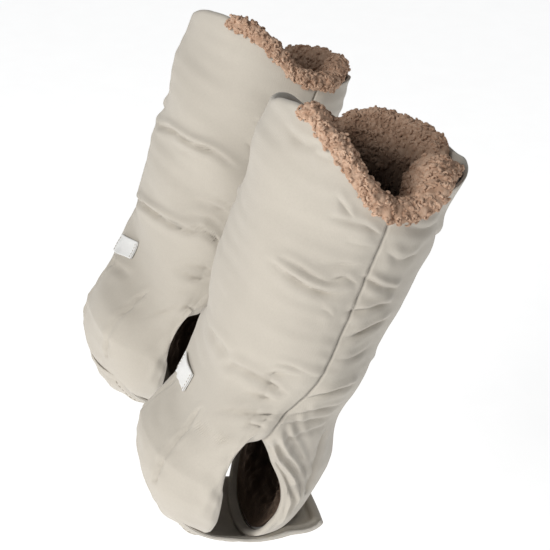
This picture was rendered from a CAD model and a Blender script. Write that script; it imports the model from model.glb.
"""The looks of a pair of padded, pile-lined hand muffs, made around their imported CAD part.

Each muff is computed in its own frame, in millimetres: z up the muff, y towards the hands, the origin
on the bar's centreline. A skin is a grid whose columns fan out from the slot's edge to the cuff's rim.
Folds, seams and darts are heights added to that skin along its normals, and every layer beneath it
follows. put() takes the finished piece to its place on the bar.
"""

import math

import bpy
import numpy as np
from mathutils import Matrix, Vector, noise

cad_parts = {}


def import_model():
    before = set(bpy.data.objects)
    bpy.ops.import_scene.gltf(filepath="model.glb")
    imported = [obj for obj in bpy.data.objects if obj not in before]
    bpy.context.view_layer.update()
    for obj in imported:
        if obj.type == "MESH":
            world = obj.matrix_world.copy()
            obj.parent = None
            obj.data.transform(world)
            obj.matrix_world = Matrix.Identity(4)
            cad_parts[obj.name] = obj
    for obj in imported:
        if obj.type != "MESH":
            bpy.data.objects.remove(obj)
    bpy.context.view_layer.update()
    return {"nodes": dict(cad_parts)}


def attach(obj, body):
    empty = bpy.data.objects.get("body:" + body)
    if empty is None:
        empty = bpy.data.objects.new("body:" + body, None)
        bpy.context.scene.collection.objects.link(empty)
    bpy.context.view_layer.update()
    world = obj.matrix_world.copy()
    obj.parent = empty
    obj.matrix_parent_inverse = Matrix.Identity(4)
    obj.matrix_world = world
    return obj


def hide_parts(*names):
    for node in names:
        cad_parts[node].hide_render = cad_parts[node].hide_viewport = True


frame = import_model()

MM = 0.001
TURN = 6.3  # about a full turn in radians, for random phases

# ---------------- driving dimensions, in mm and degrees

SPACING = 177
TILT = 16.4
TOE = 4

BAG_CENTRE = -22
BAG_DEPTH = 61
BAG_PINCH = 0.93  # how round the bag's underside is
BAG_FLAT = 0.08  # how much shallower the bag is in front of the tape
ROUNDNESS = 2.25

# height: half width, reach to the front, reach to the rear, and how far back the side seam lies
STATIONS = {
    -22: (64, 55, 66, -6),
    -8: (65, 48, 65, -6),
    5: (67, 38.5, 62.5, -6),
    27: (73, 31, 61.5, -1),
    60: (76, 33, 64.5, 14),
    110: (76, 35, 74, 23),
    165: (75, 34, 84, 28),
    214: (75, 31, 94, 31),
}

# The slot's outline seen along the bar. height: front edge, rear edge
SLOT = {
    -90: (-9, 20),
    -60: (-10, 27),
    -31: (-14.5, 31),
    -13: (-16.5, 23),
    2: (-15.5, 11),
    12: (-13, 4),
    17: (-9, 0),
    19.5: (-3.2, -2.2),
}

SHELL_THICKNESS = 1.4
HEM = 9  # how far the shell's edge is turned up inside the slot
HEM_FOLD = 2.0  # radius of the hem's fold
HEM_DEPTHS = (4.2, 3.2)  # of the turned-up cloth's two faces
WADDING_OUTSIDE = 2.4
WADDING_INSIDE = 9.5
LINING_INSIDE = 14
# the layers get thin at the slot, where these depths hold
WADDING_AT_SLOT = 2.9
BACKING_AT_SLOT = 5.4
LINING_AT_SLOT = 6.0

PATH_STEP = 1.05  # between the lining's points over the rim
TUFT_SIZE = 6.2
TUFT_HEIGHT = 3.0
ELASTIC_DEPTH = 2.6
ARCH_REACH = 52  # how far along the slot's edge the elastic runs from an arch's top

COLUMNS = 132  # of one panel, from seam to seam
ROWS = 320  # from the slot's edge to the rim
ROW_STEP = 0.9  # about the distance between two rows
CURLS = 2300  # on each panel's lining
DEEP, SHALLOW = 0.138, 0.170  # heights in metres between which the pile gets lighter

# ---------------- small mathematics


def smooth(x, low, high):
    """0 below low, 1 above high, with an even slope at both ends."""
    t = np.clip((np.asarray(x, float) - low) / (high - low), 0, 1)
    return t * t * (3 - 2 * t)


def bump(x, centre, width):
    return np.exp(-(((np.asarray(x, float) - centre) / width) ** 2))


def hermite(t, length, a, b, slope_a, slope_b):
    """A cubic from a to b over a length, with a slope at each end; t runs from 0 to 1."""
    start = (1 + 2 * t) * (1 - t) ** 2 * a + t * (1 - t) ** 2 * length * slope_a
    return start + t * t * (3 - 2 * t) * b + t * t * (t - 1) * length * slope_b


def spline(x, table, column):
    """A smooth curve through one column of a table of {x: (values)}."""
    xs = np.array(sorted(table), float)
    ys = np.array([table[k][column] for k in sorted(table)], float)
    slope = np.gradient(ys, xs)
    x = np.clip(np.asarray(x, float), xs[0], xs[-1])
    i = np.clip(np.searchsorted(xs, x) - 1, 0, len(xs) - 2)
    h = xs[i + 1] - xs[i]
    return hermite((x - xs[i]) / h, h, ys[i], ys[i + 1], slope[i], slope[i + 1])


def unit(v):
    return v / np.maximum(np.linalg.norm(v, axis=-1, keepdims=True), 1e-9)


def wrapped(degrees):
    return (np.asarray(degrees, float) + 180) % 360 - 180


# ---------------- the form of one muff


def narrowing(z):
    """How much of its widest ring the bag keeps at a height."""
    turn = np.arcsin(np.clip((np.minimum(z, BAG_CENTRE) - BAG_CENTRE) / BAG_DEPTH, -1, 0))
    return np.cos(turn) ** BAG_PINCH


def form_at_height(degrees, z):
    """A point of the plain form."""
    angle = np.radians(degrees)
    half, front, rear, seam = (spline(np.maximum(z, BAG_CENTRE), STATIONS, k) for k in range(4))
    power = 2 / ROUNDNESS
    c, s = np.cos(angle), np.sin(angle)
    depth = np.where(s < 0, front + seam, rear - seam)
    narrow = narrowing(z)
    x = half * narrow * np.sign(c) * np.abs(c) ** power
    y = seam * narrow + depth * narrow * np.sign(s) * np.abs(s) ** power
    return np.stack([x, y, flattened(y, z + 0 * x)], axis=-1)


def flattened(y, z):
    """The bag's underside lies a little higher except where the tape is."""
    share = 1 - BAG_FLAT * (1 - smooth(y, 5, 32))
    return np.where(z < BAG_CENTRE, BAG_CENTRE + (z - BAG_CENTRE) * share, z)


def height_at(level, rim):
    """Level -1 is the bottom, 0 the bag's widest ring, 1 the rim."""
    above = BAG_CENTRE + (rim - BAG_CENTRE) * np.maximum(level, 0)
    below = BAG_CENTRE + BAG_DEPTH * np.sin(np.minimum(level, 0) * math.pi / 2)
    return np.where(level < 0, below, above)


def form(degrees, level, rim):
    """A point of the plain form."""
    return form_at_height(degrees, height_at(level, rim))


def form_normal(degrees, level, rim):
    """The plain form's own outward direction, which does not depend on how a grid lies on it."""
    z = height_at(level, rim)
    step = 0.3
    around = form_at_height(degrees + step, z) - form_at_height(degrees - step, z)
    upward = form_at_height(degrees, z + step) - form_at_height(degrees, z - step)
    return unit(np.cross(around, upward))


def level_of(z, rim):
    below = np.arcsin(np.clip((z - BAG_CENTRE) / BAG_DEPTH, -1, 0)) / (math.pi / 2)
    return np.where(z < BAG_CENTRE, below, (z - BAG_CENTRE) / (rim - BAG_CENTRE))


def border_of():
    """The slot's edge all round a muff, by quarter: angles, heights and the distance along it. Angles grow
    through each quarter, from one arch's top to the muff's middle or from the middle to the next arch."""
    quarters = {}
    lowest = BAG_CENTRE - BAG_DEPTH
    heights = lowest + (max(SLOT) - lowest) * np.linspace(0, 1, 4000) ** 2
    narrow = narrowing(heights)
    row = np.maximum(heights, BAG_CENTRE)
    seam = spline(row, STATIONS, 3)
    for column, sign in ((0, -1), (1, 1)):
        depth = spline(row, STATIONS, 1 + column) - sign * seam
        away = (spline(heights, SLOT, column) - seam * narrow) * sign / np.maximum(depth * narrow, 1e-6)
        on = away <= 1
        away = np.clip(away[on], 0, 1)
        away[0], away[-1] = 1, 0
        degrees = np.degrees(np.arcsin(away ** (ROUNDNESS / 2)))
        z = heights[on]
        for mirrored in (False, True):
            angle = sign * (180 - degrees if mirrored else degrees)
            order = slice(None) if (sign < 0) != mirrored else slice(None, None, -1)
            points = form_at_height(angle[order], z[order])
            step = np.linalg.norm(np.diff(points, axis=0), axis=1)
            far = np.concatenate([[0], np.cumsum(step)])
            first = {(-1, False): -90, (-1, True): -180, (1, False): 0, (1, True): 90}[(sign, mirrored)]
            quarters[first] = (angle[order], z[order], far)
    return quarters


def grid_normals(points):
    """Normals of a grid of points, along its first direction crossed with its second."""
    return unit(np.cross(np.gradient(points, axis=0), np.gradient(points, axis=1)))


class Skin:
    """The displaced outer skin of one panel, and what the layers under it need."""

    def __init__(self, muff, first):
        angles, levels, along = [], [], []
        for quarter in (first, first + 90):
            degrees, heights, far = muff.border[quarter]
            even = np.linspace(0, 1, COLUMNS // 2 + 1)
            # columns stand closer together at the side seams
            from_seam = even if quarter == first else 1 - even
            near = 0.55 * from_seam + 0.45 * from_seam**2
            share = near if quarter == first else 1 - near
            at = share * far[-1]
            low, high = np.interp(at, far, degrees), quarter + 90 * share
            angles.append((low, high))
            levels.append(level_of(np.interp(at, far, heights), muff.rim_at(high)))
            along.append(at if quarter == first else far[-1] - at)
        low = np.concatenate([angles[0][0], angles[1][0][1:]])
        high = np.concatenate([angles[0][1], angles[1][1][1:]])
        level = np.concatenate([levels[0], levels[1][1:]])
        along = np.concatenate([along[0], along[1][1:]])
        t = np.linspace(0, 1, ROWS + 1)
        # columns turn away from the slot's edge at once, so that none of them crosses it
        self.degrees = low[:, None] + (high - low)[:, None] * (1 - (1 - t) ** 4)[None, :]
        self.level = level[:, None] + (1 - level)[:, None] * t[None, :]
        self.rim = muff.rim_at(high)[:, None] + 0 * self.degrees
        self.base = form(self.degrees, self.level, self.rim)
        step = np.linalg.norm(np.diff(self.base, axis=1), axis=-1)
        self.edge = np.concatenate([np.zeros((len(low), 1)), np.cumsum(step, axis=1)], axis=1)
        self.total = self.edge[:, -1:]
        self.along = along[:, None] + 0 * self.edge
        self.normal = form_normal(self.degrees, self.level, self.rim)
        raised = self.base + muff.lean(self)
        self.height = muff.height(self)
        self.points = raised + self.normal * self.height[..., None]
        self.outward = self.normals(self.points)

    def normals(self, points):
        """The displaced surface's own normals, away from the muff's middle."""
        n = grid_normals(points)
        away = points - [0, 10, 0]
        away[..., 2] = np.minimum(points[..., 2], 0)
        return n if (n * away).sum(-1).mean() > 0 else -n

    def under(self, depth):
        """A calm skin that stays below every fold of this one, depth further in."""
        low = self.height.copy()
        for shift in range(1, 8):
            low[:, shift:] = np.minimum(low[:, shift:], self.height[:, :-shift])
            low[:, :-shift] = np.minimum(low[:, :-shift], self.height[:, shift:])
        side = low.copy()
        for shift in range(1, 4):
            side[shift:] = np.minimum(side[shift:], low[:-shift])
            side[:-shift] = np.minimum(side[:-shift], low[shift:])
        return self.points + self.normal * (side - depth - self.height)[..., None]


# ---------------- folds


class Fold:
    """A crease across the skin, given as (degrees, height) points, with the cloth puffed above it."""

    def __init__(self, path, depth=3.0, width=2.6, puff=1.6, sharp=1.2):
        self.path = sorted(path)
        self.depth = depth
        self.width = width
        self.puff = puff
        self.sharp = sharp

    def height(self, degrees, z):
        table = {x: (height,) for x, height in self.path}
        first, last = self.path[0][0], self.path[-1][0]
        middle = (first + last) / 2
        local = middle + wrapped(degrees - middle)
        d = z - spline(local, table, 0)
        reach = (last - first) * 0.32
        fade = smooth(local, first - 1, first + reach) * (1 - smooth(local, last - reach, last + 1))
        fade = np.maximum(fade, 0) ** 0.7
        w = self.width
        above = np.exp(-np.abs(d) / (0.5 * w))
        below = np.exp(-((np.abs(d) / (1.2 * w)) ** self.sharp))
        uneven = 0.8 + 0.2 * np.sin(local / 2.7 + self.path[0][1])
        valley = -1.25 * self.depth * uneven * np.where(d > 0, above, below)
        over = self.puff * bump(d, 1.6 * w + 0.8, 1.4 * w + 0.8)
        under = 0.6 * self.puff * bump(d, -2.6 * w - 1, 2.0 * w + 1)
        return fade * (valley + over + under)


class Dart:
    """A sewn dart: a narrow groove along (x, z) points, seen from the front or the rear."""

    def __init__(self, path, side, depth=3.0, width=1.2):
        self.path = [np.array(p, float) for p in path]
        self.side = side
        self.depth = depth
        self.width = width

    def distance(self, points):
        flat = points[..., [0, 2]]
        best = np.full(flat.shape[:-1], 1e9)
        far = 0.0
        along = np.zeros_like(best)
        for a, b in zip(self.path, self.path[1:]):
            span = b - a
            length = np.linalg.norm(span)
            t = np.clip(((flat - a) @ span) / length**2, 0, 1)
            d = np.linalg.norm(flat - a - t[..., None] * span, axis=-1)
            along = np.where(d < best, far + t * length, along)
            best = np.minimum(best, d)
            far += length
        return best, along

    def height(self, points):
        d, along = self.distance(points)
        here = points[..., 1] * self.side > 0
        groove = -self.depth * np.exp(-((d / self.width) ** 1.5))
        puff = 0.7 * bump(d, 4.0, 3.0) * (1 + 0.6 * np.sin(along / 2.2))
        return np.where(here, groove + puff, 0)


# Folds of the near muff, as angles round it (0 is its outer seam, -90 its front) and heights.
NEAR_FOLDS = [
    Fold([(-56, 128), (-42, 126), (-32, 124), (-22, 123), (-12, 124), (-4, 128)], 3.0, 1.7, 1.6),
    Fold([(-52, 133), (-38, 133), (-28, 131), (-19, 130), (-10, 132)], 1.3, 1.3, 0.9),
    Fold([(-15, 132), (-9, 135), (-2, 133)], 1.6, 1.2, 0.6),
    Fold([(-24, 138), (-14, 142), (-6, 145)], 0.9, 1.4, 0.5),
    Fold([(-30, 180), (-24, 176), (-17, 172)], 1.2, 1.6, 0.7),
    Fold([(-29, 167), (-18, 169), (-11, 169), (-2, 166)], 1.8, 1.6, 1.0),
    Fold([(-16, 156), (-9, 157), (-2, 158)], 0.9, 1.5, 0.5),
    Fold([(-78, 203), (-66, 200), (-58, 201), (-46, 204)], 2.2, 2.2, 1.3),
    Fold([(-52, 199), (-43, 199), (-35, 202)], 1.4, 1.5, 0.7),
    Fold([(-104, 53), (-88, 57), (-72, 58), (-54, 56)], 2.6, 2.8, 1.8),
    Fold([(-70, 49), (-54, 55), (-40, 57), (-26, 57), (-10, 54)], 2.6, 1.6, 1.5),
    Fold([(-36, 61), (-24, 66), (-10, 69)], 1.3, 1.4, 0.7),
    Fold([(-32, 71), (-19, 73), (-5, 72)], 1.2, 1.4, 0.7),
    Fold([(-44, 43), (-29, 47), (-15, 48)], 1.8, 1.6, 1.0),
    Fold([(-54, 26), (-34, 33), (-18, 37), (-4, 41)], 1.8, 1.5, 1.0),
    Fold([(-30, 28), (-18, 29), (-6, 30)], 1.2, 1.5, 0.7),
    Fold([(-62, 9), (-50, 7), (-41, 8)], 1.2, 1.3, 0.6),
    Fold([(-44, 13), (-34, 11), (-25, 12)], 1.2, 1.3, 0.6),
    Fold([(1, 98), (9, 102), (20, 107), (32, 110)], 3.4, 1.8, 2.0),
    Fold([(-2, 138), (4, 136), (14, 133), (24, 132)], 2.0, 1.5, 2.0),
    Fold([(-3, 114), (5, 117), (16, 121), (26, 122)], 2.2, 1.6, 2.0),
    Fold([(-1, 53), (8, 60), (16, 64), (30, 66)], 3.0, 1.8, 2.0),
    Fold([(0, 39), (8, 45), (18, 48), (34, 50)], 2.2, 1.7, 1.5),
    Fold([(-2, 32), (4, 35), (13, 37), (32, 42)], 1.6, 1.5, 1.0),
    Fold([(1, 23), (11, 25), (20, 29), (38, 32)], 1.4, 1.6, 1.0),
    Fold([(2, 84), (14, 86), (26, 91)], 1.4, 1.6, 0.9),
    Fold([(3, 156), (14, 152), (28, 156)], 1.6, 2.4, 1.4),
    Fold([(8, 176), (22, 172), (36, 175)], 1.4, 2.4, 1.2),
]

# Folds of the far muff. Its inner seam, at 0, faces the near muff.
FAR_FOLDS = [
    Fold([(-126, 116), (-106, 122), (-87, 129), (-66, 132), (-46, 134), (-29, 129)], 4.2, 1.4, 2.2),
    Fold([(-84, 121), (-62, 124), (-48, 126)], 1.6, 1.5, 0.9),
    Fold([(-124, 56), (-110, 61), (-94, 66), (-76, 70), (-59, 73), (-46, 75), (-34, 79)], 6.6, 1.6, 3.2),
    Fold([(-46, 81), (-38, 79), (-31, 77), (-22, 73)], 3.0, 1.7, 1.5),
    Fold([(-52, 96), (-41, 97), (-24, 97)], 1.8, 1.6, 0.9),
    Fold([(-40, 101), (-34, 103), (-26, 104)], 0.9, 1.3, 0.5),
    Fold([(-56, 84), (-40, 88), (-26, 86)], 1.3, 1.4, 0.7),
    Fold([(-52, 45), (-39, 44), (-18, 48)], 2.2, 1.5, 1.0),
    Fold([(-45, 50), (-34, 53), (-22, 55)], 1.2, 1.4, 0.6),
    Fold([(-120, 7), (-106, 9), (-94, 12), (-88, 14)], 2.6, 2.0, 1.8),
    Fold([(-50, 6), (-40, 12), (-31, 17)], 1.2, 1.6, 0.7),
    Fold([(-30, 22), (-20, 23), (-8, 22)], 1.4, 1.4, 0.6),
    Fold([(-30, 148), (-20, 144), (-8, 142)], 1.2, 1.8, 0.7),
    Fold([(4, 96), (20, 98), (36, 104)], 2.6, 1.8, 1.6),
    Fold([(0, 52), (14, 52), (30, 60)], 2.6, 1.8, 1.6),
]

# Folds of the sides that face away, the same for both muffs.
REAR_FOLDS = [
    Fold([(62, 128), (84, 120), (108, 122), (128, 131)], 3.2, 3.0, 2.0),
    Fold([(48, 74), (72, 66), (98, 68), (122, 78)], 3.6, 3.0, 2.4),
    Fold([(70, 26), (92, 21), (114, 26)], 2.4, 2.8, 1.6),
    Fold([(40, 168), (60, 160), (78, 163)], 2.0, 3.2, 1.2),
    Fold([(110, 182), (132, 172), (152, 171)], 2.0, 3.0, 1.2),
    Fold([(146, 112), (162, 106), (177, 104)], 3.2, 2.6, 2.0),
    Fold([(148, 66), (164, 60), (178, 56)], 3.2, 2.6, 1.8),
    Fold([(150, 46), (166, 44), (180, 47)], 2.6, 2.4, 1.4),
]
AWAY_FOLDS = [
    Fold([(-178, 128), (-164, 119), (-148, 120), (-132, 126), (-116, 136)], 3.8, 3.0, 2.4),
    Fold([(-176, 62), (-158, 52), (-140, 50), (-118, 58)], 3.2, 2.8, 2.0),
    Fold([(-174, 36), (-160, 35), (-148, 40)], 2.2, 2.4, 1.2),
    Fold([(-176, 170), (-160, 172), (-144, 180)], 2.0, 3.0, 1.2),
]

FRONT_DART = [(27, 10), (28, 2), (30, -7), (31, -17), (32, -26), (31, -39)]
REAR_DART = [(58, 24), (53, 10), (50, -8), (47, -24)]


def fine_creases(seed):
    """Short, shallow creases, most of them beside the side seams."""
    rng = np.random.default_rng(seed)
    made = []
    for _ in range(30):
        seam = rng.choice([0, 180])
        start = seam + rng.choice([-1, 1]) * rng.uniform(2, 30)
        z = rng.uniform(24, 172)
        reach = rng.uniform(7, 17)
        rise = rng.uniform(-4, 4)
        middle = z + rise / 2 + rng.uniform(-1, 1)
        path = [(start, z), (start + reach / 2, middle), (start + reach, z + rise)]
        made.append(Fold(path, rng.uniform(0.35, 0.9), rng.uniform(1.1, 1.6), rng.uniform(0.2, 0.5)))
    return made


class Muff:
    """Everything that tells one muff from the other."""

    def __init__(self, name, side, seed, folds, rim, slim):
        self.name = name
        self.side = side
        self.seed = seed
        self.folds = folds + REAR_FOLDS + AWAY_FOLDS + fine_creases(seed)
        self.rim = rim
        self.slim = slim
        self.darts = []
        for way in (-1, 1):
            self.darts.append(Dart([(way * x, z) for x, z in FRONT_DART], -1))
            self.darts.append(Dart([(way * x, z) for x, z in REAR_DART], 1))
        self.border = border_of()
        toe = Matrix.Rotation(math.radians(-side * TOE), 4, "Z")
        tilt = Matrix.Rotation(math.radians(-TILT), 4, "X")
        place = Matrix.Translation((side * SPACING / 2, 0, 0))
        self.matrix = Matrix.Scale(MM, 4) @ place @ tilt @ toe

    def rim_at(self, degrees):
        table = {k: (v,) for k, v in self.rim.items()}
        return spline(wrapped(degrees), table, 0)

    def lean(self, skin):
        """Slow, broad unevenness of the whole form."""
        rng = np.random.default_rng(self.seed)
        a = np.radians(skin.degrees)
        z = skin.base[..., 2]
        move = np.zeros_like(z)
        for _ in range(7):
            turns = rng.integers(1, 5)
            wave = rng.uniform(45, 110)
            move += rng.uniform(0.3, 0.8) * np.sin(turns * a + z / wave * 2 * math.pi + rng.uniform(0, TURN))
        calm = smooth(skin.edge, 0, 25) * smooth(skin.total - skin.edge, 0, 30)
        out = skin.normal * (move * calm)[..., None]
        out[..., 1] -= self.slim * smooth(z, 90, 214) * np.maximum(np.sin(a), 0) ** 0.7
        return out

    def height(self, skin):
        """Everything that is sewn or folded into the skin."""
        degrees, points = skin.degrees, skin.base
        z = points[..., 2]
        h = np.zeros_like(z)
        a = np.radians(degrees)
        wander = 1.3 * np.sin(z / 9 + a * 5) + 0.8 * np.sin(z / 4.1 - a * 11)
        for fold in self.folds:
            h += fold.height(degrees + 0.6 * wander, z)
        for dart in self.darts:
            h += dart.height(points)
        h += self.seam_height(skin)
        h += self.gathers(skin)
        h += self.small_wrinkles(skin)
        # nothing lifts the cloth that the tape is sewn to
        taped = smooth(26 - np.abs(points[..., 0]), 0, 8) * smooth(-46 - z, 0, 6) * (points[..., 1] > 0)
        return np.where(taped > 0, np.minimum(h, h * (1 - taped)), h)

    def seam_height(self, skin):
        """The side seams pull in, with small puckers running off them."""
        a = np.radians(skin.degrees)
        away = np.minimum(np.abs(np.sin(a / 2)), np.abs(np.cos(a / 2))) * 2 * 70
        z = skin.base[..., 2]
        h = -1.4 * np.exp(-((away / 0.42) ** 1.5)) - 0.3 * np.exp(-away / 2.5)
        h += 0.7 * bump(away, 9, 7)
        phase = 1.4 * np.sin(z / 17) + 0.9 * np.sin(z / 7.3 + 1)
        puckers = np.sin(z / 1.75 + phase + away * 0.16 * np.sign(np.sin(a)))
        strength = 0.5 + 0.5 * np.sin(z / 23 + 2 * np.sign(np.sin(a)))
        h += 0.32 * strength * puckers * np.exp(-away / 8) * smooth(away, 0.4, 2.5)
        return h

    def gathers(self, skin):
        """Pleats where the elastic draws the slot's edge together, most at the arches."""
        e, s = skin.edge, skin.along
        rear = np.sin(np.radians(skin.degrees)) > 0
        at_arch = 1 - smooth(s, 62, 100)
        slant = np.where(rear, 0.75, 0.35)
        phase = s / 2.3 + 1.1 * np.sin(s / 8.7 + 1) - slant * e / 2.3
        deep = 0.55 + 0.45 * np.sin(s / 11 + np.where(rear, 0.5, 2.5))
        ripple = np.sin(phase) * deep * smooth(e, -1, 3) * np.exp(-e / 20)
        pull = -2.2 * np.exp(-e / 4.5) + 1.5 * bump(e, 13, 9)
        size = np.where(rear, 1.5, 0.9)
        arcs = np.sin(e / 1.6 - s / 9 + 0.8) * smooth(e, 1, 5) * np.exp(-((e / 26) ** 2)) * smooth(s, 4, 16)
        return at_arch * (size * ripple + pull + np.where(rear, 2.4, 0.2) * arcs)

    def small_wrinkles(self, skin):
        """Soft, mostly level wrinkles between the folds."""
        rng = np.random.default_rng(self.seed + 7)
        a = np.radians(skin.degrees)
        z = skin.base[..., 2]
        h = np.zeros_like(z)
        for _ in range(16):
            turns = rng.uniform(2, 7)
            wave = rng.uniform(9, 22)
            slope = rng.uniform(-0.6, 0.6)
            where = bump(np.sin(a * rng.uniform(0.8, 1.6) + rng.uniform(0, TURN)), 1, 0.5)
            line = np.sin(2 * math.pi * (z / wave + slope * a) + rng.uniform(0, TURN))
            size = rng.uniform(0.08, 0.22)
            patch = 0.5 + 0.5 * np.sin(turns * a + rng.uniform(0, TURN))
            h += size * line * where * patch
        return h * smooth(skin.edge, 2, 12)


# height of the rim, by the angle round the muff
NEAR_RIM = {
    -180: 184, -166: 189, -150: 196, -130: 200, -118: 201, -106: 203, -90: 210, -75: 215, -60: 216,
    -48: 210, -38: 205, -26: 195, -14: 185, -3: 179, 8: 179, 15: 183, 22: 189, 30: 194, 45: 198,
    60: 201, 74: 202, 88: 201, 100: 201, 110: 201, 130: 200, 150: 199, 165: 193, 180: 184,
}
FAR_RIM = {
    -180: 155, -166: 158, -150: 168, -135: 184, -120: 200, -106: 207, -90: 214, -75: 218, -60: 219,
    -45: 217, -30: 211, -15: 201, 0: 199, 15: 199, 30: 200, 45: 201, 60: 199, 74: 196, 90: 192,
    110: 186, 130: 174, 150: 165, 166: 158, 180: 155,
}

MUFFS = [
    Muff("left", 1, 11, NEAR_FOLDS, NEAR_RIM, 2),
    Muff("right", -1, 29, FAR_FOLDS, FAR_RIM, 17),
]

# ---------------- materials


class Look:
    """A material, built node by node."""

    def __init__(self, name):
        self.material = bpy.data.materials.new(name)
        self.material.use_nodes = True
        self.tree = self.material.node_tree
        self.shader = self.tree.nodes["Principled BSDF"]
        self.coords = self.tree.nodes.new("ShaderNodeTexCoord").outputs["Object"]

    def fill(self, node, values):
        """Sets a node's sockets, each to a constant or to another node's output."""
        for socket, value in values.items():
            if isinstance(value, bpy.types.NodeSocket):
                self.tree.links.new(value, node.inputs[socket])
            else:
                node.inputs[socket].default_value = value

    def node(self, kind, output, values, **settings):
        made = self.tree.nodes.new(f"ShaderNode{kind}")
        for name, value in settings.items():
            setattr(made, name, value)
        self.fill(made, values)
        return made.outputs[output]

    def noise(self, scale, detail, rough=0.5):
        values = {"Vector": self.coords, "Scale": scale, "Detail": detail, "Roughness": rough}
        return self.node("TexNoise", "Fac", values)

    def ramp(self, value, low, dark, high, light):
        """One colour below low, another above high, and their mixtures between."""
        made = self.tree.nodes.new("ShaderNodeValToRGB")
        for element, place, colour in zip(made.color_ramp.elements, (low, high), (dark, light)):
            element.position = place
            element.color = (*colour, 1)
        self.fill(made, {"Fac": value})
        return made.outputs["Color"]

    def multiplied(self, first, second, share):
        """The first colour, darkened by the second."""
        values = {"Factor": share, 6: first, 7: second}
        return self.node("Mix", 2, values, data_type="RGBA", blend_type="MULTIPLY")

    def bump(self, height, strength, distance, **before):
        values = {"Height": height, "Strength": strength, "Distance": distance, **before}
        return self.node("Bump", "Normal", values)

    def weave(self, scale):
        """Crossed fine threads, as a height."""
        values = {"Vector": self.coords, "Scale": scale, "Distortion": 0.6, "Detail": 1, "Detail Scale": 3}
        x, y, z = (self.node("TexWave", "Fac", values, bands_direction=way) for way in "XYZ")
        crossed = self.node("Math", 0, {0: x, 1: y}, operation="ADD")
        return self.node("Math", 0, {0: crossed, 1: z}, operation="ADD")


def fabric(name, light, dark, roughness=0.72, sheen=0.25, weave_scale=620, weave_depth=0.25):
    """A woven cloth with faint mottling, a fine weave and soft dents."""
    look = Look(name)
    colours = look.ramp(look.noise(14, 5, 0.55), 0.32, dark, 0.68, light)
    dents = look.bump(look.noise(95, 3), 0.18, 0.0012)
    values = {
        "Base Color": look.multiplied(colours, look.noise(900, 2), 0.10),
        "Normal": look.bump(look.weave(weave_scale), weave_depth, 0.0001, Normal=dents),
        "Roughness": roughness,
        "Specular IOR Level": 0.25,
        "Sheen Weight": sheen,
        "Sheen Roughness": 0.45,
        "Sheen Tint": (0.95, 0.93, 0.9, 1),
    }
    look.fill(look.shader, values)
    return look.material


def pile(name, light, dark):
    """Curly pile: matte, with darker roots between the curls, and darker deep in the sleeve."""
    look = Look(name)
    cells = look.node("TexVoronoi", "Distance", {"Vector": look.coords, "Scale": 330})
    mottle = look.noise(120, 4, 0.6)
    roots = look.node("Math", 0, {0: cells, 1: -0.35, 2: mottle}, operation="MULTIPLY_ADD")
    colours = look.ramp(roots, 0.18, dark, 0.52, light)
    height = look.node("SeparateXYZ", "Z", {"Vector": look.coords})
    depth = {"Value": height, "From Min": DEEP, "From Max": SHALLOW, "To Min": 0.08, "To Max": 1.0}
    shade = look.node("MapRange", "Result", depth, interpolation_type="SMOOTHSTEP")
    values = {
        "Base Color": look.multiplied(colours, shade, 1),
        "Normal": look.bump(look.noise(1500, 3, 0.6), 0.5, 0.0005),
        "Roughness": 0.95,
        "Specular IOR Level": 0.1,
        "Sheen Weight": 0.6,
        "Sheen Roughness": 0.5,
        "Sheen Tint": (*light, 1),
    }
    look.fill(look.shader, values)
    return look.material


SHELL = fabric("shell_cloth", (0.55, 0.508, 0.442), (0.515, 0.474, 0.412))
THREAD = fabric("thread", (0.5, 0.45, 0.38), (0.42, 0.38, 0.32), 0.6, 0.1, 2400, 0.4)
WADDING = fabric("wadding_fibre", (0.9, 0.89, 0.86), (0.82, 0.81, 0.78), 0.98, 0.5, 300, 0.2)
ELASTIC = fabric("ribbed_elastic", (0.36, 0.33, 0.28), (0.27, 0.25, 0.21), 0.8, 0.1, 420, 0.8)
HOOK = fabric("hook_tape", (0.5, 0.44, 0.37), (0.4, 0.35, 0.29), 0.9, 0.1, 380, 1.0)
LOOP = fabric("loop_tape", (0.56, 0.5, 0.42), (0.45, 0.4, 0.33), 0.95, 0.5, 250, 0.6)
LABEL = fabric("label_weave", (0.86, 0.86, 0.85), (0.81, 0.81, 0.8), 0.55, 0.15, 900, 0.35)
PILE = pile("curly_pile", (0.64, 0.45, 0.33), (0.43, 0.275, 0.19))

# ---------------- meshes


def add_object(name, data):
    made = bpy.data.objects.new(name, data)
    bpy.context.scene.collection.objects.link(made)
    return made


def put(muff, name, points, faces, look, body="muff", replaces=()):
    """Makes a piece from points in the muff's frame, in mm."""
    mesh = bpy.data.meshes.new(f"{muff.name}_{name}")
    mesh.from_pydata([tuple(p) for p in np.asarray(points, float)], [], faces)
    mesh.transform(muff.matrix)
    mesh.validate()
    mesh.update()
    made = add_object(f"{muff.name}_{name}", mesh)
    mesh.materials.append(look)
    mesh.polygons.foreach_set("use_smooth", [True] * len(mesh.polygons))
    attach(made, f"{muff.name}_{body}")
    if replaces:
        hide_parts(*[f"{muff.name}_{node}" for node in replaces])
    return made


def tube_faces(columns, ring, start=0):
    """The sides of a row of closed rings."""
    faces = []
    for i in range(columns - 1):
        a, b = start + i * ring, start + (i + 1) * ring
        for j in range(ring):
            k = (j + 1) % ring
            faces.append((a + j, a + k, b + k, b + j))
    return faces


def circle(centre, first, second, radius, sides):
    """Points round a centre, in the plane of two directions."""
    angles = [2 * math.pi * k / sides for k in range(sides)]
    return [centre + (first * math.cos(a) + second * math.sin(a)) * radius for a in angles]


def capped_tube(columns, ring, start=0):
    """A tube closed with one face at each end."""
    first = tuple(range(start, start + ring))
    last = tuple(v + (columns - 1) * ring for v in first)
    return tube_faces(columns, ring, start) + [first[::-1], last]


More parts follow.
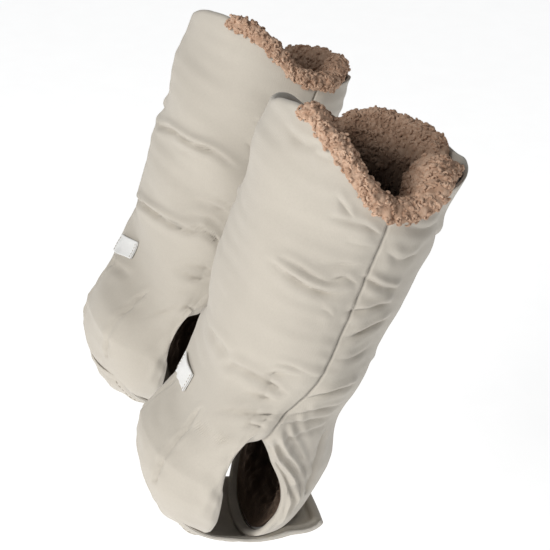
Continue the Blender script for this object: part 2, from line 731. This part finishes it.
def rings_piece(muff, name, rings, look, body="muff"):
    """The solid that stands for a CAD node, from an array of closed rings, (columns, ring, 3)."""
    columns, ring, _ = rings.shape
    points = rings.reshape(-1, 3)
    faces = tube_faces(columns, ring)
    for end in (0, columns - 1):
        faces += strip_cap(end * ring, ring, end == 0)
    if signed_volume(points, faces) < 0:
        faces = [face[::-1] for face in faces]
    return put(muff, name, points, faces, look, body, (name,))


def signed_volume(points, faces):
    """Six times the volume inside the faces, negative when they face inwards."""
    total = 0.0
    for face in faces:
        for b, c in zip(face[1:], face[2:]):
            total += np.dot(points[face[0]], np.cross(points[b], points[c]))
    return total


def strip_cap(start, ring, first):
    """Joins both halves of a thin ring with quads, so the cap needs no large face."""
    faces = []
    a, b = 0, ring - 1
    while b - a > 2:
        faces.append((start + a, start + a + 1, start + b - 1, start + b))
        a += 1
        b -= 1
    if b - a == 2:
        faces.append((start + a, start + a + 1, start + b))
    return faces if first else [face[::-1] for face in faces]


def panel(muff, name, first):
    """A shell panel: its skin, the hem turned up inside the slot, and the cloth's inner face."""
    skin = Skin(muff, first)
    outer = skin.points[:, ::-1]  # from the rim down to the slot
    inner = skin.under(SHELL_THICKNESS + 0.2)
    n, edge = skin.normal[:, 0], skin.points[:, 0]
    down = -unit(skin.base[:, 6] - skin.base[:, 0])
    hem = []
    for degrees in (35, 75, 105, 145, 180):
        a = math.radians(degrees)
        hem.append(edge - n * HEM_FOLD * (1 - math.cos(a)) + down * HEM_FOLD * math.sin(a))
    for depth, shares in zip(HEM_DEPTHS, ((0.25, 0.5, 0.75, 1.0), (1.0, 0.6, 0.25))):
        for share in shares:
            row = int(round(share * HEM / ROW_STEP))
            hem.append(skin.points[:, row] - skin.normal[:, row] * depth)
    rows = skin.points.shape[1]
    inner_rows = np.linspace(1, rows - 1, len(hem) + rows).round().astype(int)
    over, back = lip(muff, skin)
    ring = np.concatenate([over, outer, np.stack(hem, axis=1), inner[:, inner_rows], back], axis=1)
    made = rings_piece(muff, name, ring, SHELL)
    return skin


# the shell's edge where it is turned in, as (out, up) from the rim: the outer side, then the inner
LIP_OUTER = [
    (-6.2, -10), (-6, -7), (-5.8, -4), (-5.6, -0.5), (-5, 1.8), (-3.4, 3), (-1.6, 2.9), (-0.3, 1.6),
]
LIP_INNER = [(-1.9, 0.8), (-2.6, 1.6), (-3.6, 1), (-4.2, -0.6), (-4.4, -4), (-4.5, -7), (-4.8, -10)]


def plainness(muff, skin):
    """1 where the rim is bare cloth, 0 where the pile is rolled over it."""
    height = ROLLS[muff.name](wrapped(skin.degrees[:, -1]))[1]
    return 1 - smooth(height, 1, 4)


def rim_frame(skin):
    """The rim's points, and the ways out of the cuff and up it."""
    n = unit(skin.outward[:, -6:-2].mean(axis=1))
    return skin.points[:, -1], n, unit(skin.base[:, -1] - skin.base[:, -8])


def mixed_path(skin, plain, covered, bare):
    """Points (out, up) from the rim: one path where the pile covers it, another where it is bare."""
    rim, n, up = rim_frame(skin)
    points = []
    for (a, b), (c, d) in zip(covered, bare):
        points.append(rim + n * ((1 - plain) * a + plain * c) + up * ((1 - plain) * b + plain * d))
    return points


def lip(muff, skin):
    """The shell's edge turned in over the rim, wide where the cloth is bare."""
    plain = plainness(muff, skin)[:, None]
    narrow_outer = [(-0.25 * (8 - k), 0.12 * k) for k in range(len(LIP_OUTER))]
    narrow_inner = [(-1.7 - 0.1 * k, -0.1 * k) for k in range(len(LIP_INNER))]
    pairs = ((narrow_outer, LIP_OUTER), (narrow_inner, LIP_INNER))
    return [np.stack(mixed_path(skin, plain, *pair), axis=1) for pair in pairs]


def wadding(muff, name, skin):
    """The wadding under a panel, thin at the slot and at the rim."""
    full = smooth(skin.edge, 2, 24) * smooth(skin.total - skin.edge, -4, 12)
    outer = skin.under(WADDING_OUTSIDE)[:, ::4]
    inner = skin.under(WADDING_AT_SLOT + (WADDING_INSIDE - WADDING_AT_SLOT) * full)[:, ::4]
    rows = slice(3, -1)
    columns = slice(4, -4, 3)
    ring = np.concatenate([outer[columns, rows][:, ::-1], inner[columns, rows]], axis=1)
    rings_piece(muff, name, ring, WADDING)


def curl_height(points, size, amount):
    """How far the pile stands up at each point: domes with furrows between them."""
    out = np.empty(len(points))
    for i, p in enumerate(points):
        v = Vector(p) / size
        swirl = noise.noise_vector(v * 0.7) * 0.45
        distances = noise.voronoi(v + swirl)[0]
        dome = min(distances[1] - distances[0], 0.75) / 0.75
        out[i] = dome**0.55 + 0.35 * noise.noise(v * 2.7)
    return amount * out


def over_rim(muff, skin):
    """The lining's path over the rim, as columns of points from inside to the outside."""
    roll = ROLLS[muff.name](wrapped(skin.degrees[:, -1]))
    hang, tall, wide, reach = (part[:, None] for part in roll)
    # a width below 1 stands the whole roll back from the edge
    back = np.minimum(wide - 1, 0)
    wide = np.maximum(wide, 1)
    path = [
        (back - 12.0 - reach, -7 - 0.5 * reach),
        (back - 10.6 - 0.9 * reach, 0.1 * tall - 0.35 * reach),
        (back - 8.8 - 0.65 * reach, 0.6 * tall - 0.15 * reach),
        (back - 6.4 - 0.35 * reach, 0.92 * tall),
        (back - 3.2 - 0.1 * reach, 1.0 * tall),
        (back + 0.1 * wide, 0.93 * tall),
        (back + 0.62 * wide, 0.68 * tall),
        (back + 0.93 * wide, 0.3 * tall),
        (back + 1.0 * wide, -0.1 * hang),
        (back + 0.98 * wide, -0.5 * hang),
        (back + 0.8 * wide, -0.86 * hang),
        (back + 0.45 * wide, -1.02 * hang),
        (back + 0.9, -0.92 * hang),
    ]
    # below a bare edge the pile ends under the turned-in cloth
    count = len(path) - 1
    tucked = []
    for k in range(count + 1):
        tucked.append((-13 + 0.55 * k, -13 + 4.5 * math.sin(math.pi * k / count) - 0.3 * k))
    plain = plainness(muff, skin)[:, None]
    mixed = mixed_path(skin, plain, path, tucked)
    covered = ((back + 0.7, 0.7), (back - 3, 0.8), (-9.4, 0.6))
    under = mixed_path(skin, plain, covered, ((-6.6, -17.5), (-7.6, -18.5), (-9, -19.5)))
    return mixed, under, plain


def lining(muff, name, skin):
    """The curly pile inside a panel, rolled over its rim."""
    path, under_roll, plain = over_rim(muff, skin)
    path = dense(np.stack(path, axis=1), PATH_STEP)
    full = smooth(skin.edge, 3, 26)
    inside = skin.under(LINING_AT_SLOT + (LINING_INSIDE + 1 - LINING_AT_SLOT) * full)
    backing = skin.under(BACKING_AT_SLOT + (WADDING_INSIDE + 0.6 - BACKING_AT_SLOT) * full)
    rows = skin.points.shape[1]
    # the upper half, which is in view, has more rows
    kept = np.unique(np.concatenate([np.arange(10, rows // 2, 4), np.arange(rows // 2, rows - 10, 2)]))
    wall = inside[:, kept]
    face = np.concatenate([blend_to(wall, path[:, 0]), path], axis=1)
    away = layer_normals(face)
    count = face.shape[1]
    place = np.arange(count)
    on_path = (place >= count - path.shape[1])[None, :]
    # each muff takes its tufts from another part of the noise
    flat = face.reshape(-1, 3) + [0, 0, 500 * muff.side]
    tall = curl_height(flat, TUFT_SIZE, TUFT_HEIGHT).reshape(face.shape[:2])
    fade = smooth(place, 0, 6)[None, :] * smooth(count - 1 - place, -0.5, 3)[None, :]
    fade = fade * (1 - 0.6 * plain * on_path)
    soft = face + away * (tall * fade)[..., None]
    back_rows = np.linspace(rows - 24, 10, count - 3).round().astype(int)
    ring = np.concatenate([soft, np.stack(under_roll, axis=1), backing[:, back_rows]], axis=1)
    rings_piece(muff, name, ring, PILE)
    first_row = max(count - path.shape[1] - 24, 0)
    seed = muff.seed + (1 if skin.degrees.mean() < 0 else 2)
    curls(muff, name.replace("lining", "curls"), soft, away, first_row, plain * on_path, seed)


def dense(columns, step):
    """The same smooth path for every column, with points about step mm apart."""
    length = np.linalg.norm(np.diff(columns, axis=1), axis=-1).mean(axis=0)
    far = np.concatenate([[0], np.cumsum(length)])
    count = int(far[-1] / step)
    at = np.linspace(0, far[-1], count)
    out = np.empty((columns.shape[0], count, 3))
    for axis in range(3):
        slope = np.gradient(columns[..., axis], far, axis=1)
        i = np.clip(np.searchsorted(far, at) - 1, 0, len(far) - 2)
        h = (far[i + 1] - far[i])[None, :]
        t = ((at - far[i]) / h[0])[None, :]
        a, b = columns[:, i, axis], columns[:, i + 1, axis]
        out[..., axis] = hermite(t, h, a, b, slope[:, i], slope[:, i + 1])
    return out


def blend_to(wall, start):
    """Bends a wall's last rows so that they run into the first points of the path over the rim."""
    rows = wall.shape[1]
    share = smooth(np.arange(rows), rows - 18, rows)[None, :, None]
    return wall + share * (start[:, None] - wall[:, -1:])


def layer_normals(points):
    """Normals of the lining's visible face: into the hollow below, and outwards over the rim."""
    n = grid_normals(points)
    middle = points[len(points) // 2, 10]
    inward = np.array([0, 20, middle[2]]) - middle
    return n if np.dot(n[len(points) // 2, 10], inward) >= 0 else -n


def curls(muff, name, face, away, first_row, bare, seed):
    """Little hooked locks of pile, rooted over the part of a lining that is in view."""
    rng = np.random.default_rng(seed)
    columns, rows, _ = face.shape
    points, faces = [], []
    sides, steps = 5, 8
    while len(points) < CURLS * sides * steps:
        i = int(rng.integers(2, columns - 2))
        j = int(rng.integers(first_row, rows - 2))
        if rng.random() < bare[i, j]:
            continue
        root = face[i, j]
        n = away[i, j]
        side = unit(np.cross(n, rng.normal(size=3)))
        cross = np.cross(n, side)
        size = rng.uniform(0.9, 1.5)
        tall = rng.uniform(0.3, 1.1)
        turn = rng.uniform(0.9, 1.5) * math.pi
        thick = rng.uniform(0.75, 1.25)
        t = np.linspace(0, 1, steps)
        spin = t * turn
        centre = (
            root
            + n * (tall * np.sin(t * math.pi * 0.8) - 0.5)[:, None]
            + side * (size * (1 - np.cos(spin)))[:, None]
            + cross * (size * 0.8 * np.sin(spin))[:, None]
        )
        along = unit(np.gradient(centre, axis=0))
        first = unit(np.cross(along, n + 0.01))
        second = np.cross(along, first)
        radius = thick * (1 - 0.55 * t**2)
        faces += capped_tube(steps, sides, len(points))
        for k in range(steps):
            points += circle(centre[k], first[k], second[k], radius[k], sides)
    put(muff, name, points, faces, PILE)


def near_roll(degrees):
    """The near roll at an angle round its rim: overhang, height, width, lean into the cuff."""
    outer = 3.0 * smooth(degrees, -50, -10) * (1 - smooth(degrees, 20, 50))
    full = 5.2 + outer - 1.6 * smooth(degrees, 40, 65)
    bare = smooth(-degrees, 64, 74) * (1 - smooth(-degrees, 158, 172))
    height = full * (1 - 0.9 * bare) - 2.2 * bump(degrees, 76, 12)
    bulge = 2.9 * smooth(degrees, -18, -2) * (1 - smooth(degrees, 20, 34))
    width = 1.9 + bulge - 7.2 * smooth(degrees, 22, 44)
    inward = 12 * smooth(degrees, 8, 30) * (1 - smooth(degrees, 66, 96))
    return 1.4 + (1 - smooth(degrees, -20, -6)), height, width, inward


def far_roll(degrees):
    """The same for the far muff's roll."""
    overhang = 2.0 + 1.0 * smooth(degrees, -40, 0) * (1 - smooth(degrees, 20, 40))
    bare = smooth(-degrees, 64, 74) * (1 - smooth(-degrees, 150, 165))
    height = 4.8 * (1 - 0.9 * bare) + 5.5 * bump(degrees, 80, 42)
    width = 1.4 + 1.2 * bump(degrees, 0, 25) - 8.0 * smooth(degrees, 8, 40)
    return overhang, height, width, 3 * bump(degrees, 30, 20)


ROLLS = {"left": near_roll, "right": far_roll}

# ---------------- flap, tapes, label, elastic

# half width, the angles where it starts and ends, length, thickness at both ends, gap, stitching's inset
FLAP = {
    "half": 40, "from": -52, "to": 66, "run": 150, "front": 3.2, "rear": 10.5, "off": 0.3, "inset": 6,
}


def flap_point(x, degrees, out):
    """A point out mm off the bag's own form, x from its middle and at an angle from straight down."""
    a = np.radians(degrees)
    reach = np.where(degrees < 0, STATIONS[-22][1], STATIONS[-22][2])
    half = STATIONS[-22][0]
    narrow = (1 - (np.abs(x) / (half + out)) ** 2.1) ** (1 / 2.1)
    narrow = narrow + (1 - narrow) * 0.7 * smooth(degrees, 48, 66)
    y = (reach + out) * np.sin(a) * narrow
    z = flattened(y, BAG_CENTRE - BAG_DEPTH * np.cos(a) * narrow) - out * np.cos(a)
    return y, z


def flap(muff):
    """The padded closing flap, sewn round its edge, with its free end puffed away from the bag."""
    columns, rows = 64, 96
    x = np.linspace(-1, 1, columns)
    s = np.linspace(0, 1, rows)
    width = FLAP["half"] * (1 - 0.07 * s**3 - 0.08 * smooth(s, 0.9, 1.02))
    degrees = FLAP["from"] + (FLAP["to"] - FLAP["from"]) * s
    edge_x = (1 - np.abs(x)[:, None]) * width[None, :]
    run = s * FLAP["run"]
    edge = np.minimum(edge_x, np.minimum(run, FLAP["run"] - run)[None, :])
    rounded = np.sqrt(np.clip(1 - (1 - np.clip(edge / 3.2, 0, 1)) ** 2, 0, 1))
    channel = 1 - 0.5 * bump(edge, FLAP["inset"], 1.3)
    crown = 0.75 + 0.25 * smooth(edge, FLAP["inset"], 24)
    thick = FLAP["front"] + (FLAP["rear"] - FLAP["front"]) * smooth(degrees, 24, 58)[None, :]
    # the sewn end is thin, and lies a little in front of the hinge so that no gap opens there
    thick = thick * (0.35 + 0.65 * smooth(degrees, -52, -40))[None, :]
    half = thick / 2 * rounded * channel * crown + 0.25
    rng = np.random.default_rng(muff.seed + 3)
    wobble = np.zeros_like(half)
    for _ in range(8):
        a, b = rng.uniform(1.5, 5, 2)
        size = rng.uniform(0.1, 0.35)
        wobble += size * np.sin(a * x[:, None] * 3 + b * s[None, :] * 7 + rng.uniform(0, TURN))
    lift = 1.2 * smooth(degrees, 12, 32)[None, :] * (1 - 0.9 * x[:, None] ** 2)
    lift = lift * (1 - smooth(degrees, 48, 62)[None, :]) + 4.4 * smooth(degrees, 46, 64)[None, :]
    middle = FLAP["off"] + thick / 2 + lift + wobble * smooth(edge, 0, 12)
    rings = []
    for sign in (1, -1):
        y, z = flap_point(x[:, None] * width[None, :], degrees[None, :], middle + sign * half)
        points = np.stack([x[:, None] * width[None, :] + 0 * y, y, z], axis=-1)
        rings.append(points if sign > 0 else points[:, ::-1])
    ring = np.concatenate(rings, axis=1)
    made = rings_piece(muff, "closing_flap", ring, SHELL, "flap")
    stitches(muff, "flap_stitching", rings[0], width)


def capsule(a, b, radius, bow, sides=6):
    """A short stitch from a to b, bowed along bow, as points and faces."""
    steps = 6
    points = []
    axis = unit(b - a)
    side = unit(np.cross(axis, bow))
    top = np.cross(side, axis)
    for i in range(steps):
        t = i / (steps - 1)
        r = radius * math.sqrt(max(1 - (2 * t - 1) ** 4, 0.02))
        centre = a + (b - a) * t + bow * math.sin(math.pi * t) * radius * 0.9
        points += circle(centre, side, top, r, sides)
    return points, capped_tube(steps, sides)


def thread_run(muff, name, path, normals, look, body, length=3.0, gap=1.4, radius=0.32):
    """A row of stitches laid along a path."""
    far = np.concatenate([[0], np.cumsum(np.linalg.norm(np.diff(path, axis=0), axis=1))])
    points, faces = [], []
    at = gap
    while at + length < far[-1]:
        ends = [np.array([np.interp(d, far, path[:, k]) for k in range(3)]) for d in (at, at + length)]
        bow = unit(np.array([np.interp(at + length / 2, far, normals[:, k]) for k in range(3)]))
        p, f = capsule(ends[0] + bow * 0.12, ends[1] + bow * 0.12, radius, bow)
        faces += [tuple(v + len(points) for v in face) for face in f]
        points += p
        at += length + gap
    put(muff, name, points, faces, look, body)


def stitches(muff, name, face, width):
    """One row of stitches in the flap's channel, round three of its sides."""
    columns, rows, _ = face.shape
    n = grid_normals(face)
    if n[columns // 2, rows // 4, 2] > 0:
        n = -n
    i0 = int(round(columns * FLAP["inset"] / (2 * FLAP["half"])))
    j1 = rows - 1 - int(round(rows * FLAP["inset"] / FLAP["run"]))
    walk = [(i0, j) for j in range(3, j1)]
    walk += [(i, j1) for i in range(i0, columns - 1 - i0)]
    walk += [(columns - 1 - i0, j) for j in range(j1, 3, -1)]
    path = np.array([face[w] for w in walk])
    normals = np.array([n[w] for w in walk])
    thread_run(muff, name, path, normals, THREAD, "flap")


def on_skin(skin, x, z):
    """The outer skin's point nearest to a place on the front."""
    d = (skin.points[..., 0] - x) ** 2 + (skin.points[..., 2] - z) ** 2
    return skin.points[np.unravel_index(d.argmin(), d.shape)]


def label(muff, skin, centre, turn):
    """A blank woven label, sewn at its ends and standing a little proud between them."""
    width, height, thick = 34.0, 13.0, 0.9
    columns, rows = 30, 14
    u = np.linspace(-0.5, 0.5, columns)
    v = np.linspace(-0.5, 0.5, rows)
    a = math.radians(turn)
    x = centre[0] + u[:, None] * width * math.cos(a) - v[None, :] * height * math.sin(a)
    z = centre[1] + u[:, None] * width * math.sin(a) + v[None, :] * height * math.cos(a)
    front = np.empty((columns, rows, 3))
    for i in range(columns):
        for j in range(rows):
            front[i, j] = on_skin(skin, x[i, j], z[i, j])
    # the label bridges small folds: its depth is smoothed, and it never sinks into the cloth
    y = front[..., 1].copy()
    for _ in range(12):
        padded = np.pad(y, 1, mode="edge")
        y = (padded[2:, 1:-1] + padded[:-2, 1:-1] + padded[1:-1, 2:] + padded[1:-1, :-2]) / 4
        y = np.minimum(y, front[..., 1])
    lift = 0.5 + 0.9 * np.cos(u * math.pi)[:, None] ** 2 * (0.6 + 0.4 * np.sin(v * 5)[None, :])
    back = np.stack([x, y - lift, z], axis=-1)
    face = back - np.array([0, thick, 0])
    ring = np.concatenate([face, back[:, ::-1]], axis=1)
    made = rings_piece(muff, "label", ring, LABEL)
    forward = np.tile([0, -1.0, 0], (rows, 1))
    for letter, end in (("a", 2), ("b", columns - 3)):
        name = f"label_stitches_{letter}"
        thread_run(muff, name, face[end], forward, THREAD, "muff", 1.6, 0.8, 0.22)


def elastic(muff, name, skins, at_outer):
    """The elastic inside one arch's hem: a flat band that follows both panels' edges."""
    centre = 0 if at_outer else 180
    runs = []
    for skin in skins:
        near = np.abs(wrapped(skin.degrees[:, 0] - centre)) < 60
        on = near & (skin.along[:, 0] < ARCH_REACH)
        rows = [2, 7]  # where the band's two edges lie
        run = (skin.points - skin.normal * ELASTIC_DEPTH)[on][:, rows]
        n = skin.normal[on][:, rows].mean(axis=1)
        order = np.argsort(skin.along[on, 0])
        runs.append((run[order], n[order]))
    path = np.concatenate([runs[0][0][::-1], runs[1][0]])
    n = np.concatenate([runs[0][1][::-1], runs[1][1]])
    a, b = path[:, 0], path[:, 1]
    thick = n * (0.35 + 0.12 * np.sin(np.arange(len(a)) * 2.1))[:, None]
    ring = np.stack([a + thick, b + thick, b - thick, a - thick], axis=1)
    rings_piece(muff, name, ring, ELASTIC)


def dress(node, look):
    """A better material for a CAD node that keeps its shape."""
    data = frame["nodes"][node].data
    data.materials.clear()
    data.materials.append(look)


LABELS = {"left": ((-20, 15), 0), "right": ((-29, 23), 14)}

for muff in MUFFS:
    skins = {"front": panel(muff, "front_panel", -180), "rear": panel(muff, "rear_panel", 0)}
    for half, skin in skins.items():
        wadding(muff, f"{half}_wadding", skin)
    for half, skin in skins.items():
        lining(muff, f"{half}_lining", skin)
    elastic(muff, "outer_elastic", skins.values(), muff.side > 0)
    elastic(muff, "inner_elastic", skins.values(), muff.side < 0)
    flap(muff)
    label(muff, skins["front"], *LABELS[muff.name])
    dress(f"{muff.name}_hook_tape", HOOK)
    dress(f"{muff.name}_loop_tape", LOOP)

# ---------------- floor, light and camera

CAMERA = {"azimuth": 73.72, "elevation": 25.22, "distance": 1.1294, "lens": 108.54}
TARGET = Vector((0, 0.029, 0.07425))
SHIFT = (0.0657, -0.0479)


def from_camera_side(azimuth, elevation, distance):
    """A place seen from the target at these angles, and the way to it."""
    a, e = math.radians(azimuth), math.radians(elevation)
    way = Vector((math.sin(a) * math.cos(e), -math.cos(a) * math.cos(e), math.sin(e)))
    return TARGET + way * distance, way


def floor():
    data = bpy.data.meshes.new("floor")
    size, z = 6, -0.32
    corners = [(-size, -size, z), (size, -size, z), (size, size, z), (-size, size, z)]
    data.from_pydata(corners, [], [(0, 1, 2, 3)])
    look = Look("floor_paint")
    shade = look.ramp(look.noise(30, 2), 0.3, (0.93, 0.93, 0.93), 0.7, (0.97, 0.97, 0.97))
    glow = {"Emission Color": (1, 1, 1, 1), "Emission Strength": 0.65}
    look.fill(look.shader, {"Base Color": shade, "Roughness": 0.9, **glow})
    data.materials.append(look.material)
    made = add_object("floor", data)


def aim(made, azimuth, elevation, distance):
    """Stands a lamp or camera off from the object, looking at it."""
    made.location, way = from_camera_side(azimuth, elevation, distance)
    made.rotation_mode = "QUATERNION"
    made.rotation_quaternion = way.to_track_quat("Z", "Y")


def area_light(name, azimuth, elevation, distance, size, energy, colour):
    data = bpy.data.lights.new(name, "AREA")
    data.size = size
    data.energy = energy
    data.color = colour
    aim(add_object(name, data), azimuth, elevation, distance)


def camera():
    data = bpy.data.cameras.new("camera")
    data.lens = CAMERA["lens"]
    data.sensor_width = 36
    data.shift_x, data.shift_y = SHIFT
    made = add_object("camera", data)
    aim(made, CAMERA["azimuth"], CAMERA["elevation"], CAMERA["distance"])
    bpy.context.scene.camera = made


def world():
    made = bpy.data.worlds.new("studio")
    made.use_nodes = True
    back = made.node_tree.nodes["Background"]
    back.inputs["Color"].default_value = (0.97, 0.985, 1, 1)
    back.inputs["Strength"].default_value = 0.27
    bpy.context.scene.world = made


floor()
world()
area_light("key", 28, 26, 1.9, 0.8, 26, (1, 0.985, 0.96))
camera()
bpy.context.scene.view_settings.view_transform = "Standard"
